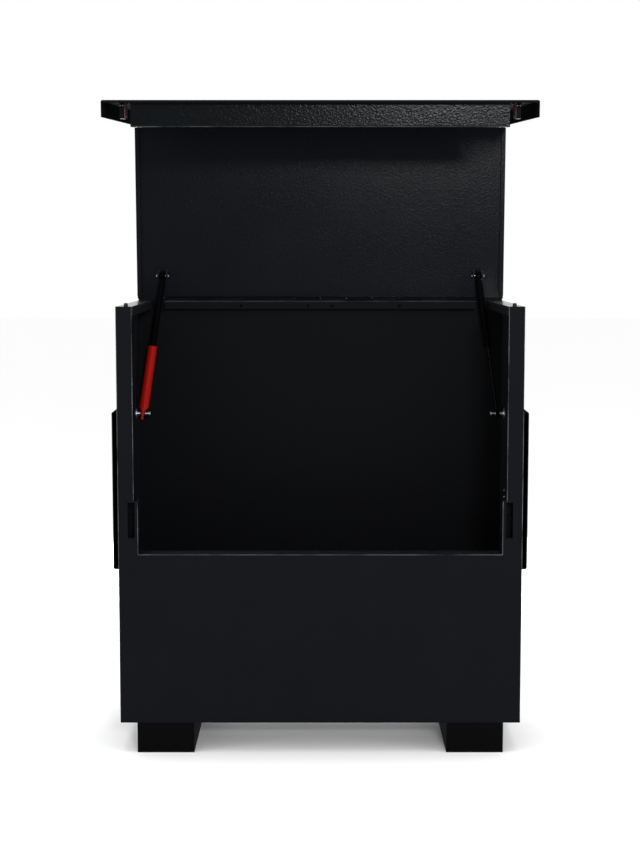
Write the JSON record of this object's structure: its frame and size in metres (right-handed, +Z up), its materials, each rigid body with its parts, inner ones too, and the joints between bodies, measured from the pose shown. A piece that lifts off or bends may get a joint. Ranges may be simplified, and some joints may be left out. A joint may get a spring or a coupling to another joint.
{
  "type": "jobsite storage box",
  "caption": "Upright steel site storage box on two skids, with an L-shaped hinged lid held open by gas struts, a front opening with lock posts, and tall side handle plates.",
  "frame": {"origin": "centre of the footprint of the whole object at rest, with its lid open, on the floor", "axes": "+X to the right seen from the open front, +Y towards the rear wall, +Z up"},
  "size_m": [1.208, 0.755, 1.8348],
  "materials": {
    "body_paint": "dark grey-black textured powder coat, semi-gloss",
    "skid_paint": "black paint, satin",
    "zinc": "bright zinc plate",
    "rod_black": "ground and black nitrided",
    "cylinder_black": "black gloss paint",
    "rubber": "matt",
    "sleeve_red": "red moulded plastic",
    "cover_white": "plain off-white plate",
    "pad_red": "plain red pad"
  },
  "bodies": {
    "carcass": {"front_frame": "body_paint", "rear_panel": "body_paint", "base_panel": "body_paint", "side_panel_left": "body_paint", "side_panel_right": "body_paint", "skid_left": "skid_paint", "skid_right": "skid_paint", "skid_end_caps": "skid_paint", "side_handle_left": "body_paint", "side_handle_right": "body_paint", "lock_keep_left": "body_paint", "lock_keep_right": "body_paint", "strut_stud_left": "zinc", "strut_stud_right": "zinc", "rim_rivets": "body_paint", "wall_rivets": "zinc", "lid_buffers": "rubber", "hinge_leaf_body": "body_paint", "hinge_pin": "body_paint", "hinge_rivets": "body_paint"},
    "lid": {"lid_top": "body_paint", "lid_front": "body_paint", "lid_lock_channel": "body_paint", "channel_end_caps": "body_paint", "hinge_leaf_lid": "body_paint", "strut_clevis_left": "zinc", "strut_clevis_right": "zinc", "lock_case_left": "body_paint", "lock_case_right": "body_paint", "lock_cover_left": "cover_white", "lock_cover_right": "cover_white", "lock_pad_left": "pad_red", "lock_pad_right": "pad_red", "escutcheon_left": "zinc", "escutcheon_right": "zinc"},
    "rod_left": {"strut_rod_left": "rod_black"},
    "cylinder_left": {"strut_cylinder_left": "cylinder_black", "strut_top_eye_left": "zinc"},
    "bolt_left": {"lock_bolt_left": "zinc"},
    "cover_left": {"keyhole_cover_left": "zinc"},
    "rod_right": {"strut_rod_right": "rod_black"},
    "cylinder_right": {"strut_cylinder_right": "cylinder_black", "strut_top_eye_right": "zinc"},
    "bolt_right": {"lock_bolt_right": "zinc"},
    "cover_right": {"keyhole_cover_right": "zinc"},
    "sleeve": {"lock_sleeve": "sleeve_red"}
  },
  "joints": [
    {"name": "lid_hinge", "type": "hinge", "parent": "carcass", "child": "lid", "pos_m": [0, 0.37056, 1.263], "axis": [1, 0, 0], "range_deg": [0, 87.3]},
    {"name": "strut_left_swing", "type": "hinge", "parent": "carcass", "child": "rod_left", "pos_m": [-0.54, 0.27136, 0.9175], "axis": [0.9184, 0.3483, -0.1876], "range_deg": [0, 5.98]},
    {"name": "strut_left_slide", "type": "slide", "parent": "rod_left", "child": "cylinder_left", "axis": [-0.1318, -0.1779, -0.9752], "range_m": [0, 0.09596]},
    {"name": "strut_right_swing", "type": "hinge", "parent": "carcass", "child": "rod_right", "pos_m": [0.54, 0.27136, 0.9175], "axis": [0.9184, -0.3483, 0.1876], "range_deg": [0, 5.98]},
    {"name": "strut_right_slide", "type": "slide", "parent": "rod_right", "child": "cylinder_right", "axis": [0.1318, -0.1779, -0.9752], "range_m": [0, 0.09596]},
    {"name": "lock_sleeve_swing", "type": "hinge", "parent": "rod_left", "child": "sleeve", "pos_m": [-0.54, 0.27136, 0.9175], "axis": [0.9913, -0.0236, -0.1296], "range_deg": [0, 20]},
    {"name": "lock_bolt_left_slide", "type": "slide", "parent": "lid", "child": "bolt_left", "axis": [-1, 0, 0], "range_m": [0, 0.012]},
    {"name": "keyhole_cover_left_turn", "type": "hinge", "parent": "lid", "child": "cover_left", "pos_m": [-0.5265, -0.24481, 1.80832], "axis": [0, -0.0471, 0.9989], "range_deg": [-95, 95]},
    {"name": "lock_bolt_right_slide", "type": "slide", "parent": "lid", "child": "bolt_right", "axis": [1, 0, 0], "range_m": [0, 0.012]},
    {"name": "keyhole_cover_right_turn", "type": "hinge", "parent": "lid", "child": "cover_right", "pos_m": [0.5265, -0.24481, 1.80832], "axis": [0, -0.0471, 0.9989], "range_deg": [-95, 95]}
  ],
  "couplings": [
    {"joint": "strut_left_swing", "follows": "lid_hinge", "ratio": 0.068251},
    {"joint": "strut_left_slide", "follows": "lid_hinge", "m_per_rad": 0.062782},
    {"joint": "strut_right_swing", "follows": "lid_hinge", "ratio": 0.068251},
    {"joint": "strut_right_slide", "follows": "lid_hinge", "m_per_rad": 0.062782}
  ]
}
